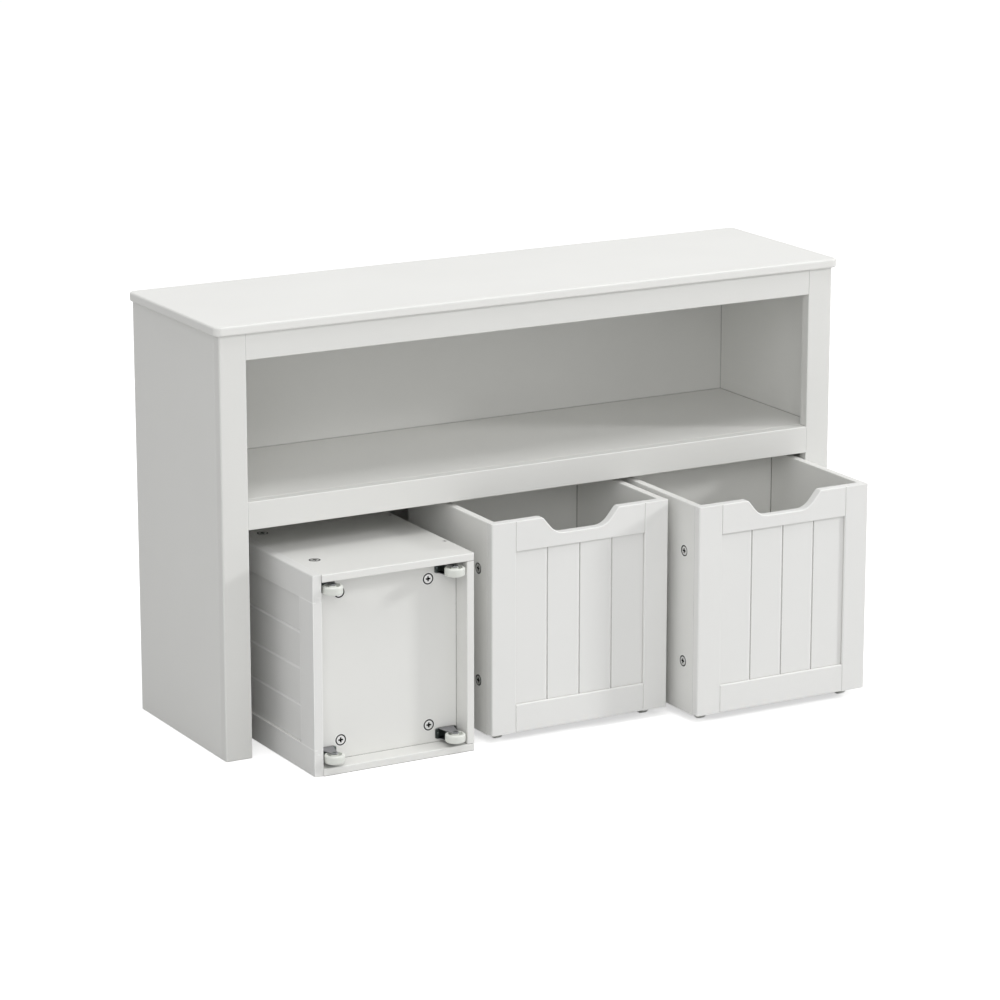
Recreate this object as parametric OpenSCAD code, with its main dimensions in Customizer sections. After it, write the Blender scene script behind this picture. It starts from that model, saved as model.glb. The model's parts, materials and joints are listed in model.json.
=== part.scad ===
// Toy cabinet: an open shelf over a bay that holds three wheeled bins.
// White boards are joined by cam fittings, dowels and screws. The middle and
// right bins stand pulled out on their wheels. The left bin lies on its side,
// half in the bay, with its underside and wheels towards the front.
// Millimetres. The origin is on the floor under the middle of the whole set.

/* [Cabinet] */
// Width over the two side panels
cabinet_w = 900; // [860:1:1000]
// Depth from the front of the face frame to the back
cabinet_d = 257; // [245:1:300]
// Height of the carcass under the top board
carcass_h = 547; // [510:1:620]
// Thickness of the side panels and the shelf
board_t = 12; // [11:0.5:16]
// Height of the shelf's upper face above the floor
shelf_z = 333; // [320:1:380]
// Thickness of the back panel
back_t = 5; // [4:0.5:8]
// Depth of the rebate that the back panel's edges lie in
back_rebate = 6; // [5:0.5:7]
// Gap between the back panel and the floor
back_floor_gap = 5; // [0:1:20]

/* [Top board] */
// Thickness of the top board
top_t = 12; // [10:0.5:18]
// Overhang past each side panel
top_side_overhang = 7; // [2:0.5:20]
// Overhang past the face frame
top_front_overhang = 6; // [2:0.5:20]
// Radius of the corners, seen from above
top_corner_r = 10; // [6:0.5:20]
// Rounding of the upper and lower edges
top_edge_r = 2.5; // [1:0.5:4]

/* [Face frame] */
// Width of the upright stiles
stile_w = 36; // [28:1:50]
// Thickness of the stiles and rails
frame_t = 15; // [13:0.5:20]
// Height of the rail under the top board
top_rail_h = 34; // [24:1:50]
// Height of the rail in front of the shelf
shelf_rail_h = 36; // [28:1:45]

/* [Bins] */
// Space between neighbouring bins, and between a bin and a stile
bin_gap = 12; // [6:1:25]
// Space between a bin and the rail above it
bin_head_gap = 6; // [3:1:20]
// Space behind a bin that is pushed home
bin_back_gap = 27; // [5:1:40]
// Thickness of the side and back walls
wall_t = 10; // [10:0.5:12]
// Thickness of the bottom panel
bottom_t = 10; // [10:0.5:12]
// Depth of the space under the bottom panel, which hides the casters
bottom_recess = 29; // [27:0.5:35]
// Height of the walls' lower edges above the floor
floor_gap = 10; // [6:0.5:11]
// How far the front's lower edge lies above the walls' lower edges
front_lift = 2; // [0.5:0.5:5]

/* [Bin front] */
// Thickness of the front's frame
front_t = 12; // [12:0.5:15]
// Width of the front's stiles
front_stile_w = 35; // [25:1:45]
// Rounding of the front's outer upright edges
front_edge_r = 2; // [1:0.25:4]
// Height of the front's top rail, which has the hand scoop
front_top_rail_h = 40; // [36:1:55]
// Height of the front's bottom rail
front_bottom_rail_h = 37; // [25:1:50]
// Depth of the beaded panel behind the frame's face
bead_recess = 4; // [2:0.5:5]
// Thickness of the beaded panel
bead_t = 6; // [4:0.5:6]
// Length of the tongues that hold the panel and the rails
tongue = 6; // [4:0.5:8]
// Number of boards that the beaded panel imitates
bead_boards = 4; // [3:1:6]
// Width of each bead line
bead_line_w = 3.4; // [1.5:0.1:4]

/* [Hand scoop] */
// Width of the scoop along the top edge
scoop_w = 116; // [100:1:130]
// Depth of the scoop
scoop_depth = 23; // [20:0.5:26]
// Rounding where the scoop meets the top edge
scoop_top_r = 5; // [3:0.5:14]
// Rounding where the scoop meets its flat bottom
scoop_bottom_r = 26; // [12:0.5:26]
// Steepness of the scoop's flanks in degrees
scoop_slope = 50; // [40:1:60]

/* [Casters] */
// Diameter of the wheels
wheel_d = 26; // [24:0.5:30]
// Width of the wheels
wheel_w = 11; // [8:0.5:12]
// Rounding of the wheels' shoulders
wheel_shoulder_r = 2.5; // [1:0.25:3]
// Diameter of the axle pins
axle_d = 4; // [3:0.25:5]
// Thickness of the steel brackets
bracket_t = 1.2; // [1:0.1:2]
// Length of the brackets' plates
plate_l = 30; // [28:0.5:34]
// Length of the brackets' arms where they leave the plate
arm_l = 22; // [16:0.5:24]
// Space between a plate's end and the board next to it
caster_end_gap = 1; // [0.5:0.25:6]
// Distance from a wall's inner face to the middle of a wheel
caster_side_inset = 11; // [10:0.5:20]

/* [Fittings] */
// Diameter of the cams
cam_d = 14; // [10:0.5:15]
// Distance from a board's edge to the middle of a cam
cam_setback = 24; // [20:0.5:28]
// Diameter of the cam bolts' threads
bolt_d = 5; // [4:0.25:6]
// Depth of the cam bolts' threads in the facing board
bolt_thread_l = 7; // [5:0.5:8]
// Distance from each end of a board to its nearer cams
cam_end = 50; // [46:1:60]
// Height of the lower fittings above the walls' lower edges
low_fitting_z = 68; // [60:1:90]
// Height of the upper fittings above the walls' lower edges
high_fitting_z = 216; // [180:1:220]
// Diameter of the dowels
dowel_d = 6; // [5:0.5:8]
// Length of the dowels
dowel_l = 22; // [18:1:24]
// Distance from the ends of the side panels to their dowels and screws
side_fitting_end = 60; // [40:1:80]
// Head diameter of the screws in the bins' back corners
screw_head_d = 7; // [6:0.25:8]
// Shank diameter of those screws
screw_d = 4; // [3:0.25:5]
// Length of those screws
screw_l = 34; // [28:1:40]
// Head diameter of the small screws
small_head_d = 5; // [4:0.25:6]
// Shank diameter of the small screws
small_screw_d = 2.4; // [2:0.1:3]
// Length of the small screws in the back panel
small_screw_l = 16; // [12:1:20]
// Length of the small screws in the caster plates
plate_screw_l = 8; // [6:0.5:9]
// Radial clearance round a fitting in its bore
fit_gap = 0.05; // [0.02:0.01:0.1]
// Radial clearance round a cam in its bore
cam_gap = 0.5; // [0.1:0.05:0.6]
// Radial clearance of a wheel on its axle
axle_gap = 0.08; // [0.03:0.01:0.1]
// Clearance of a tongue in its groove
tongue_gap = 0.2; // [0.1:0.05:0.4]

/* [Arrangement] */
// How far the middle bin is pulled out
middle_pull = 104; // [0:1:200]
// How far the right bin is pulled out
right_pull = 160; // [130:1:220]
// Shift of the middle bin to the right of its place
middle_shift = 4; // [-5:1:5]
// Shift of the right bin to the right of its place
right_shift = 4; // [-5:1:6]
// How far the tipped bin's underside lies in front of the face frame
tipped_pull = 110; // [40:1:120]
// Place of the tipped bin between the left stile and the middle bin: 0 is at
// the stile and 1 at the bin
tipped_place = 0.54; // [0.3:0.02:0.7]

/* [Hidden] */
$fn = 48;
cut = 1;

opening_w = cabinet_w - 2 * stile_w;
bin_w = (opening_w - 4 * bin_gap) / 3;
bin_h = shelf_z - shelf_rail_h - bin_head_gap - floor_gap;
bin_d = cabinet_d - back_t - bin_back_gap;
bin_step = bin_w + bin_gap;
front_h = bin_h - front_lift;
bead_open_w = bin_w - 2 * front_stile_w;
bead_open_h = front_h - front_top_rail_h - front_bottom_rail_h;
inner_w = bin_w - 2 * wall_t;
shelf_w = cabinet_w - 2 * board_t;
shelf_d = cabinet_d - frame_t - back_t;
top_w = cabinet_w + 2 * top_side_overhang;
top_d = cabinet_d + top_front_overhang;

// Casters: places in the bin's frame, the wheels' inner form and the brackets
wheel_z = wheel_d / 2 - floor_gap;
caster_front_y = front_t + caster_end_gap + plate_l / 2;
caster_back_y = bin_d - wall_t - caster_end_gap - plate_l / 2;
caster_x = inner_w / 2 - caster_side_inset;
wheel_hub_t = 2.6;
wheel_web_t = 3;
wheel_rim_t = 3.5;
arm_gap = 0.5;
arm_x = wheel_w / 2 + arm_gap;
arm_end_r = 4.5;
pin_head_d = axle_d + 2;
pin_head_t = 0.8;
plate_screw_inset = 4;
plate_head_t = 1.2;

// Cams and their bolts, and the cross slots of cams and screws: length, width, depth
cam_below = 3;
bolt_neck_d = bolt_d - 1;
bolt_head_l = 3;
passage_d = bolt_d + 1;
cam_slot = [6.6, 2.2, 1.8];
screw_slot = [3.6, 0.9, 1.2];
small_slot = [2.6, 0.7, 0.9];

// Dowels and the places of the screws in the back panel
dowel_cover = 4;
side_fitting_z = [side_fitting_end, carcass_h / 2, carcass_h - side_fitting_end];
rail_dowel_step = 18;
top_dowel_step = 318;
shelf_dowels = 4;
shelf_dowel_step = 188;

// Space that the tipped bin leaves free between the left stile and the middle bin
tipped_room = (opening_w - bin_w) / 2 + middle_shift - bin_d;
tipped_x = tipped_place * tipped_room - opening_w / 2;
front_reach = max(middle_pull, right_pull, tipped_pull + floor_gap);
middle_y = (cabinet_d - front_reach) / 2;

// Cams of the cabinet, as [point on the face, outward direction, bolt's direction]:
// the side panels carry the top board, and the shelf hangs between them
cam_rows = [frame_t + cam_end, cabinet_d - back_t - cam_end];
cabinet_cams = concat(
    [for (side = [-1, 1], y = cam_rows)
        [[side * shelf_w / 2, y, carcass_h - cam_setback], [-side, 0, 0], [0, 0, 1]]],
    [for (side = [-1, 1], y = cam_rows)
        [[side * (shelf_w / 2 - cam_setback), y, shelf_z - board_t], [0, 0, -1], [side, 0, 0]]]);

// Cams of a bin: in the side walls for the front, in the bottom panel for the walls
bin_cams = concat(
    [for (side = [-1, 1], z = [low_fitting_z, high_fitting_z])
        [[side * bin_w / 2, front_t + cam_setback, z], [side, 0, 0], [0, -1, 0]]],
    [for (side = [-1, 1], y = [cam_end, bin_d - cam_end])
        [[side * (inner_w / 2 - cam_setback), y, bottom_recess], [0, 0, -1], [side, 0, 0]]]);

// Dowels of the cabinet, as [point on the joint, direction, length ahead of it]
into_frame = frame_t - dowel_cover;
shelf_dowel_x = [for (i = [0:shelf_dowels - 1]) (i + 0.5 - shelf_dowels / 2) * shelf_dowel_step];
cabinet_dowels_at = concat(
    [for (side = [-1, 1], z = side_fitting_z)
        [[side * (cabinet_w - board_t) / 2, frame_t, z], [0, -1, 0], into_frame]],
    [for (side = [-1, 1], z = [carcass_h - top_rail_h / 2, shelf_z - shelf_rail_h / 2], up = [-1, 1])
        [[side * opening_w / 2, frame_t / 2, z + up * rail_dowel_step / 2], [side, 0, 0], dowel_l / 2]],
    [for (x = shelf_dowel_x) [[x, frame_t, shelf_z - board_t / 2], [0, -1, 0], into_frame]],
    [for (x = [-1, 0, 1] * top_dowel_step) [[x, frame_t / 2, carcass_h], [0, 0, 1], top_t - dowel_cover]]);

// Screws of the back panel: into the side panels and the shelf
back_screws_at = concat(
    [for (side = [-1, 1], z = side_fitting_z) [side * (shelf_w + back_rebate) / 2, z]],
    [for (x = shelf_dowel_x) [x, shelf_z - board_t / 2]]);

bins = ["left", "middle", "right"];
wheel_names = ["front_left", "front_right", "back_left", "back_right"];

white = "#f2f2f0";
nylon = "#e6e6da";
steel = "#8d9094";
zinc = "#c6c7ca";
beech = "#d9b98c";

// Places a piece at a point, with its X and Z axes along two given directions
module placed(at, x_to, z_to) {
    y_to = cross(z_to, x_to);
    multmatrix([for (i = [0:2]) [x_to[i], y_to[i], z_to[i], at[i]]]) children();
}

// A direction square to a given one that lies along a main axis
function beside(direction) = abs(direction[0]) > 0.5 ? [0, 1, 0] : [1, 0, 0];

// A plate seen from the front: its outline is drawn in X and Z, its face is at y
module front_plate(y, thickness) translate([0, y + thickness, 0]) rotate([90, 0, 0])
    linear_extrude(thickness) children();

// A plate seen from the side: its outline is drawn in Y and Z, from x on
module side_plate(x, thickness) translate([x, 0, 0]) rotate([90, 0, 90])
    linear_extrude(thickness) children();

// Cross slot for a screwdriver, in a face at z = 0
module cross_slot(size) for (turn = [0, 90]) rotate([0, 0, turn])
    translate([-size[0] / 2, -size[1] / 2, -size[2]]) cube([size[0], size[1], size[2] + cut]);

// Cam fitting. The cam's face is at z = 0 and its bolt runs along X, halfway
// through the board that holds the cam, into the board that faces its edge.
module cam(board) {
    deep = board / 2 + cam_below;
    difference() {
        translate([0, 0, -deep]) cylinder(d = cam_d, h = deep);
        translate([-bolt_d / 2, 0, -board / 2]) rotate([0, 90, 0]) cylinder(d = passage_d, h = cam_d + bolt_d);
        cross_slot(cam_slot);
    }
}

module cam_bolt(board) translate([0, 0, -board / 2]) rotate([0, 90, 0]) {
    cylinder(d = bolt_d, h = bolt_head_l);
    cylinder(d = bolt_neck_d, h = cam_setback + cut);
    translate([0, 0, cam_setback]) cylinder(d = bolt_d, h = bolt_thread_l);
}

module cam_bore(board) {
    deep = board / 2 + cam_below + fit_gap;
    translate([0, 0, -deep]) cylinder(d = cam_d + 2 * cam_gap, h = deep + cut);
    translate([0, 0, -board / 2]) rotate([0, 90, 0]) {
        cylinder(d = passage_d, h = cam_setback);
        cylinder(d = bolt_d + 2 * fit_gap, h = cam_setback + bolt_thread_l + fit_gap);
    }
}

module cams(list, board) color(zinc) for (c = list) placed(c[0], c[2], c[1]) {
    cam(board);
    cam_bolt(board);
}

module cam_bores(list, board) for (c = list) placed(c[0], c[2], c[1]) cam_bore(board);

// Dowels, or with a gap the bores that they sit in
module dowels(gap) for (d = cabinet_dowels_at)
    placed(d[0], beside(d[1]), d[1]) translate([0, 0, d[2] - dowel_l - gap])
        cylinder(d = dowel_d + 2 * gap, h = dowel_l + 2 * gap);

// A countersunk screw with its head's face at z = 0, and its shank along -Z
module screw(head, shank, long, slot) difference() {
    sink = (head - shank) / 2;
    union() {
        translate([0, 0, -sink]) cylinder(d1 = shank, d2 = head, h = sink);
        translate([0, 0, -long]) cylinder(d = shank, h = long);
    }
    cross_slot(slot);
}

module screw_bore(head, shank, long) {
    sink = (head - shank) / 2;
    hole = shank + 2 * fit_gap;
    mouth = head + 2 * fit_gap;
    translate([0, 0, -sink]) cylinder(d1 = hole, d2 = mouth, h = sink);
    translate([0, 0, -long - fit_gap]) cylinder(d = hole, h = long + fit_gap + cut);
    cylinder(d = mouth, h = cut);
}

module back_screw_places() for (s = back_screws_at)
    placed([s[0], cabinet_d, s[1]], [1, 0, 0], [0, 1, 0]) children();

module back_panel_screws() color(zinc) back_screw_places()
    screw(small_head_d, small_screw_d, small_screw_l, small_slot);

// A carcass board, bored for every fitting that reaches it
module carcass_board() color(white) difference() {
    children();
    cam_bores(cabinet_cams, board_t);
    dowels(fit_gap);
    back_screw_places() screw_bore(small_head_d, small_screw_d, small_screw_l);
}

// Section of the top board's edge: flat faces and a rounded outer edge
module top_edge_section(reach) {
    r = top_edge_r;
    square([reach - r, top_t]);
    translate([0, r]) square([reach, top_t - 2 * r]);
    for (z = [r, top_t - r]) translate([reach - r, z]) circle(r);
}

// The top board: the edge section runs round the rounded corners, and the
// straight edges and the middle lie between them
module top_board() carcass_board() translate([0, (cabinet_d - top_front_overhang) / 2, carcass_h]) {
    straight_x = top_w - 2 * top_corner_r;
    straight_y = top_d - 2 * top_corner_r;
    for (x = [-1, 1], y = [-1, 1])
        translate([x * straight_x / 2, y * straight_y / 2, 0])
            rotate([0, 0, x > 0 ? (y > 0 ? 0 : -90) : (y > 0 ? 90 : 180)])
                rotate_extrude(angle = 90) top_edge_section(top_corner_r);
    for (turn = [0, 180]) rotate([0, 0, turn]) {
        translate([straight_x / 2, straight_y / 2, 0]) rotate([90, 0, 0])
            linear_extrude(straight_y) top_edge_section(top_corner_r);
        translate([-straight_x / 2, straight_y / 2, 0]) rotate([90, 0, 90])
            linear_extrude(straight_x) top_edge_section(top_corner_r);
    }
    translate([-straight_x / 2, -straight_y / 2, 0]) cube([straight_x, straight_y, top_t]);
}

module side_panel(side) carcass_board() difference() {
    translate([side * (cabinet_w - board_t) / 2 - board_t / 2, frame_t, 0])
        cube([board_t, cabinet_d - frame_t, carcass_h]);
    rebate_w = shelf_w + 2 * back_rebate;
    translate([-rebate_w / 2, cabinet_d - back_t, -cut]) cube([rebate_w, back_t + cut, carcass_h + 2 * cut]);
}

module back_panel() carcass_board() {
    w = shelf_w + 2 * (back_rebate - tongue_gap);
    translate([-w / 2, cabinet_d - back_t, back_floor_gap]) cube([w, back_t, carcass_h - back_floor_gap]);
}

module shelf() carcass_board() translate([-shelf_w / 2, frame_t, shelf_z - board_t])
    cube([shelf_w, shelf_d, board_t]);

module stile(side) carcass_board() translate([side * (cabinet_w - stile_w) / 2 - stile_w / 2, 0, 0])
    cube([stile_w, frame_t, carcass_h]);

module rail(z_top, h) carcass_board() translate([-opening_w / 2, 0, z_top - h])
    cube([opening_w, frame_t, h]);

// A bin stands in its own frame: X across, Y from its front's face to its back,
// Z up from the lower edges of its walls. Its boards are bored for its fittings.
module bin_board() color(white) difference() {
    children();
    cam_bores(bin_cams, wall_t);
    corner_screw_places() screw_bore(screw_head_d, screw_d, screw_l);
    caster_places() plate_screw_places() translate([0, 0, -plate_screw_l])
        cylinder(d = small_screw_d + 2 * fit_gap, h = plate_screw_l + cut);
}

module corner_screw_places() for (side = [-1, 1], z = [low_fitting_z, high_fitting_z])
    placed([side * bin_w / 2, bin_d - wall_t / 2, z], [0, 1, 0], [side, 0, 0]) children();

module caster_places() for (side = [-1, 1], y = [caster_front_y, caster_back_y])
    translate([side * caster_x, y, 0]) children();

module plate_screw_places() for (end = [-1, 1])
    translate([0, end * (plate_l / 2 - plate_screw_inset), bottom_recess]) rotate([180, 0, 0]) children();

// A stile of a bin's front, whose outer upright edge is rounded
module front_stile(side) bin_board() difference() {
    translate([side * bin_w / 2, 0, front_lift]) mirror([side > 0 ? 1 : 0, 0, 0]) linear_extrude(front_h) {
        translate([front_edge_r, 0]) square([front_stile_w - front_edge_r, front_t]);
        translate([0, front_edge_r]) square([front_stile_w, front_t - front_edge_r]);
        translate([front_edge_r, front_edge_r]) circle(front_edge_r);
    }
    groove_w = bead_open_w + 2 * (tongue + tongue_gap);
    translate([-groove_w / 2, bead_recess - tongue_gap, 0])
        cube([groove_w, bead_t + 2 * tongue_gap, bin_h + cut]);
}

// A rail of a bin's front: its ends are tongues in the stiles' grooves, and
// its inner edge, which faces the panel, is grooved
module front_rail(z_low, h, groove_z) bin_board() difference() {
    union() {
        translate([-bead_open_w / 2, 0, z_low]) cube([bead_open_w, front_t, h]);
        translate([-bead_open_w / 2 - tongue, bead_recess, z_low]) cube([bead_open_w + 2 * tongue, bead_t, h]);
    }
    translate([-bin_w / 2, bead_recess - tongue_gap, groove_z - tongue - tongue_gap])
        cube([bin_w, bead_t + 2 * tongue_gap, 2 * (tongue + tongue_gap)]);
    children();
}

// Outline of the hand scoop, from its flat bottom up past the top edge. Each
// flank is a straight slope between an arc at the bottom and one at the top.
module scoop_outline() {
    rise = 1 - cos(scoop_slope);
    flank = (scoop_depth - (scoop_top_r + scoop_bottom_r) * rise) / sin(scoop_slope);
    flank_w = (scoop_top_r + scoop_bottom_r) * sin(scoop_slope) + flank * cos(scoop_slope);
    flat = scoop_w / 2 - flank_w;
    low = [flat + scoop_bottom_r * sin(scoop_slope), scoop_bottom_r * rise];
    high = [scoop_w / 2 - scoop_top_r * sin(scoop_slope), scoop_depth - scoop_top_r * rise];
    top = [scoop_w / 2, scoop_depth];
    right = [[0, 0], [flat, 0], low, high, top, top + [0, cut], [0, scoop_depth + cut]];
    difference() {
        for (side = [-1, 1]) {
            polygon([for (p = right) [side * p[0], p[1]]]);
            translate([side * flat, scoop_bottom_r]) circle(scoop_bottom_r);
        }
        for (side = [-1, 1]) translate([side * scoop_w / 2, scoop_depth - scoop_top_r]) circle(scoop_top_r);
    }
}

module front_top_rail() front_rail(bin_h - front_top_rail_h, front_top_rail_h, bin_h - front_top_rail_h)
    front_plate(-cut, front_t + 2 * cut) translate([0, bin_h - scoop_depth]) scoop_outline();

module front_bottom_rail() front_rail(front_lift, front_bottom_rail_h, front_lift + front_bottom_rail_h);

module front_panel() bin_board() difference() {
    translate([-bead_open_w / 2 - tongue, bead_recess, front_lift + front_bottom_rail_h - tongue])
        cube([bead_open_w + 2 * tongue, bead_t, bead_open_h + 2 * tongue]);
    for (i = [1:bead_boards - 1]) translate([(i / bead_boards - 0.5) * bead_open_w, bead_recess, 0])
        linear_extrude(bin_h)
            polygon([[-bead_line_w / 2 - cut, -cut], [bead_line_w / 2 + cut, -cut], [0, bead_line_w / 2]]);
}

module side_wall(side) bin_board() translate([side * (bin_w - wall_t) / 2 - wall_t / 2, front_t, 0])
    cube([wall_t, bin_d - front_t, bin_h]);

module back_wall() bin_board() translate([-inner_w / 2, bin_d - wall_t, 0]) cube([inner_w, wall_t, bin_h]);

module bottom() bin_board() translate([-inner_w / 2, front_t, bottom_recess])
    cube([inner_w, bin_d - front_t - wall_t, bottom_t]);

module corner_screws() color(zinc) corner_screw_places()
    screw(screw_head_d, screw_d, screw_l, screw_slot);

// One bracket: a plate under the bottom panel and two arms that narrow to the
// axle pin, which is riveted outside them, with two screws in the plate
module bracket() {
    plate_w = 2 * (arm_x + bracket_t);
    pin_x = plate_w / 2 + fit_gap;
    difference() {
        union() {
            translate([-plate_w / 2, -plate_l / 2, bottom_recess - bracket_t]) cube([plate_w, plate_l, bracket_t]);
            for (x = [-arm_x - bracket_t, arm_x]) side_plate(x, bracket_t) {
                polygon([[-arm_l / 2, bottom_recess], [arm_l / 2, bottom_recess],
                    [arm_end_r, wheel_z], [-arm_end_r, wheel_z]]);
                translate([0, wheel_z]) circle(arm_end_r);
            }
        }
        plate_screw_places() translate([0, 0, -cut])
            cylinder(d = small_screw_d + 2 * fit_gap, h = bracket_t + 2 * cut);
        pin(plate_w / 2 + cut, axle_d + 2 * fit_gap);
    }
    pin(pin_x + pin_head_t, axle_d);
    for (x = [-pin_x - pin_head_t, pin_x]) translate([x, 0, wheel_z])
        rotate([0, 90, 0]) cylinder(d = pin_head_d, h = pin_head_t);
    plate_screw_places() translate([0, 0, bracket_t + fit_gap]) difference() {
        union() {
            translate([0, 0, -plate_screw_l]) cylinder(d = small_screw_d, h = plate_screw_l);
            cylinder(d = small_head_d, h = plate_head_t);
        }
        translate([0, 0, plate_head_t]) cross_slot(small_slot);
    }
}

module pin(half_l, d) translate([-half_l, 0, wheel_z]) rotate([0, 90, 0]) cylinder(d = d, h = 2 * half_l);

module caster_brackets() color(steel) caster_places() bracket();

// A wheel turns on its pin. It is hollowed from both sides round its hub.
module wheel_section() {
    rim = wheel_d / 2;
    bore = axle_d / 2 + axle_gap;
    half = wheel_w / 2;
    translate([bore, -half]) square([wheel_hub_t, wheel_w]);
    translate([bore, -wheel_web_t / 2]) square([rim - wheel_rim_t / 2 - bore, wheel_web_t]);
    translate([rim - wheel_rim_t, -half]) square([wheel_rim_t - wheel_shoulder_r, wheel_w]);
    translate([rim - wheel_rim_t, -half + wheel_shoulder_r]) square([wheel_rim_t, wheel_w - 2 * wheel_shoulder_r]);
    for (z = [-1, 1]) translate([rim - wheel_shoulder_r, z * (half - wheel_shoulder_r)]) circle(wheel_shoulder_r);
}

module wheel(side, y) color(nylon) translate([side * caster_x, y, wheel_z]) rotate([0, 90, 0])
    rotate_extrude() wheel_section();

// Where each bin is: the left one lies on its left wall with its front to the left
module in_bin(b) {
    if (b == "left")
        placed([tipped_x, -tipped_pull, bin_w / 2], [0, 0, 1], [0, 1, 0]) children();
    else if (b == "middle")
        translate([middle_shift, -middle_pull, floor_gap]) children();
    else
        translate([bin_step + right_shift, -right_pull, floor_gap]) children();
}

// Everything stands in one frame, whose origin is under the middle of the set
module in_set() translate([0, -middle_y, 0]) children();

in_set() top_board();
in_set() side_panel(-1);  // left_side_panel
in_set() side_panel(1);  // right_side_panel
in_set() back_panel();
in_set() shelf();
in_set() stile(-1);  // left_stile
in_set() stile(1);  // right_stile
in_set() rail(carcass_h, top_rail_h);  // top_rail
in_set() rail(shelf_z, shelf_rail_h);  // shelf_rail
in_set() cams(cabinet_cams, board_t);
in_set() color(beech) dowels(0);  // cabinet_dowels
in_set() back_panel_screws();
for (b = bins) {
    in_set() in_bin(b) front_stile(-1);
    in_set() in_bin(b) front_stile(1);
    in_set() in_bin(b) front_top_rail();
    in_set() in_bin(b) front_bottom_rail();
    in_set() in_bin(b) front_panel();
    in_set() in_bin(b) side_wall(-1);
    in_set() in_bin(b) side_wall(1);
    in_set() in_bin(b) back_wall();
    in_set() in_bin(b) bottom();
    in_set() in_bin(b) cams(bin_cams, wall_t);
    in_set() in_bin(b) corner_screws();
    in_set() in_bin(b) caster_brackets();
    in_set() in_bin(b) wheel(-1, caster_front_y);
    in_set() in_bin(b) wheel(1, caster_front_y);
    in_set() in_bin(b) wheel(-1, caster_back_y);
    in_set() in_bin(b) wheel(1, caster_back_y);
}
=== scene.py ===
# %% [markdown]
# # A toy cabinet with three wheeled bins
# The real thing is flat-pack furniture: boards of fibreboard under satin white lacquer, joined by zinc cam
# fittings and screws. Two bins stand pulled out on nylon wheels and a third lies on its side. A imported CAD
# model already holds every board at its true size. So this lesson gives the boards their soft edges, makes
# the top board, the beaded panels, the wheels and the casters anew as surfaces, and finishes everything with
# materials and light.

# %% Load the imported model
import json
from math import cos, pi, radians, sin

import bmesh
import bpy
import numpy as np
from mathutils import Matrix, Vector

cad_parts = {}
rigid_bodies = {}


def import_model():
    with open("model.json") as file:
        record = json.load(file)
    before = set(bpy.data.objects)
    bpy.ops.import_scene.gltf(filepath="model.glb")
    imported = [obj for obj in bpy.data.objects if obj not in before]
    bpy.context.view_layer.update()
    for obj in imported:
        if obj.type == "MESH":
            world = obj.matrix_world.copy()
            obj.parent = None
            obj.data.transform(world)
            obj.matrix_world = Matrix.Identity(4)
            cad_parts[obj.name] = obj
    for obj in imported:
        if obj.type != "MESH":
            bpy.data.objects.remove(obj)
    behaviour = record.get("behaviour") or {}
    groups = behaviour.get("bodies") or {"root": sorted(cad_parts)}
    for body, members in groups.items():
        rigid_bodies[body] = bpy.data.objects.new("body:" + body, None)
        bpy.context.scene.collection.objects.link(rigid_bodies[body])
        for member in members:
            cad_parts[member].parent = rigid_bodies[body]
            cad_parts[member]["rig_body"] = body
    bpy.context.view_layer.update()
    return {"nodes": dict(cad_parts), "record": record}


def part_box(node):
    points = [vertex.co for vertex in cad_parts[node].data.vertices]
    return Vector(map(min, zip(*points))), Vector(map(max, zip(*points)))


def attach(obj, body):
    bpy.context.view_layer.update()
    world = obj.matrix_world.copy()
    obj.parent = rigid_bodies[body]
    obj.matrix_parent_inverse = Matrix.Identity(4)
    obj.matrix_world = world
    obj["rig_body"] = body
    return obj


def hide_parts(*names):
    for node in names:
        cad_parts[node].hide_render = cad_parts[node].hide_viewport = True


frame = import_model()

MM = 0.001
bins = ["left", "middle", "right"]

# %% [markdown]
# ## The camera
# The photograph was taken from the left, from well above the cabinet and from far away with a long lens, so
# upright edges stay nearly parallel. A camera can be guessed by eye, but here its place was found by matching
# the corners of the boards, whose real sizes are known, to the picture. It is written as a place, a heading
# and a focal length.

# %% Set the camera
camera_place = Vector((-2.4288, -4.2802, 1.5473))
camera_turn = 0.511
camera_dip = 0.2534
sensor_w = 36.0
focal_px = 3899.9
picture_px = 1000


def look(turn, dip):
    """Heading turned clockwise from +Y by turn and dipped below the horizon by dip, in radians."""
    return Vector((sin(turn) * cos(dip), cos(turn) * cos(dip), -sin(dip)))


camera = bpy.data.objects.new("camera", bpy.data.cameras.new("camera"))
bpy.context.scene.collection.objects.link(camera)
camera.location = camera_place
camera.rotation_euler = look(camera_turn, camera_dip).to_track_quat("-Z", "Y").to_euler()
camera.data.sensor_width = sensor_w
camera.data.lens = focal_px * sensor_w / picture_px
camera.data.clip_end = 50
bpy.context.scene.camera = camera
print("lens:", round(camera.data.lens, 1), "mm")

# %% [markdown]
# ## Colour and nodes
# Colours are written as sRGB hex values, which is how they look on a screen, and a shader wants them linear.
# A material is a small network, and building one by hand in code is mostly adding nodes and links, so one
# function does that for every kind of node.

# %% Helpers for materials
mix_factor, mix_first, mix_second, mix_result = 0, 6, 7, 2  # the sockets that a Mix node uses for colours


def linear(hex_colour):
    """sRGB to linear light: each channel c is ((c + 0.055) / 1.055) ** 2.4, or c / 12.92 where it is dark."""
    srgb = np.array([int(hex_colour[i:i + 2], 16) for i in (1, 3, 5)]) / 255
    light = np.where(srgb > 0.04045, ((srgb + 0.055) / 1.055) ** 2.4, srgb / 12.92)
    return (*light.tolist(), 1.0)


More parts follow.
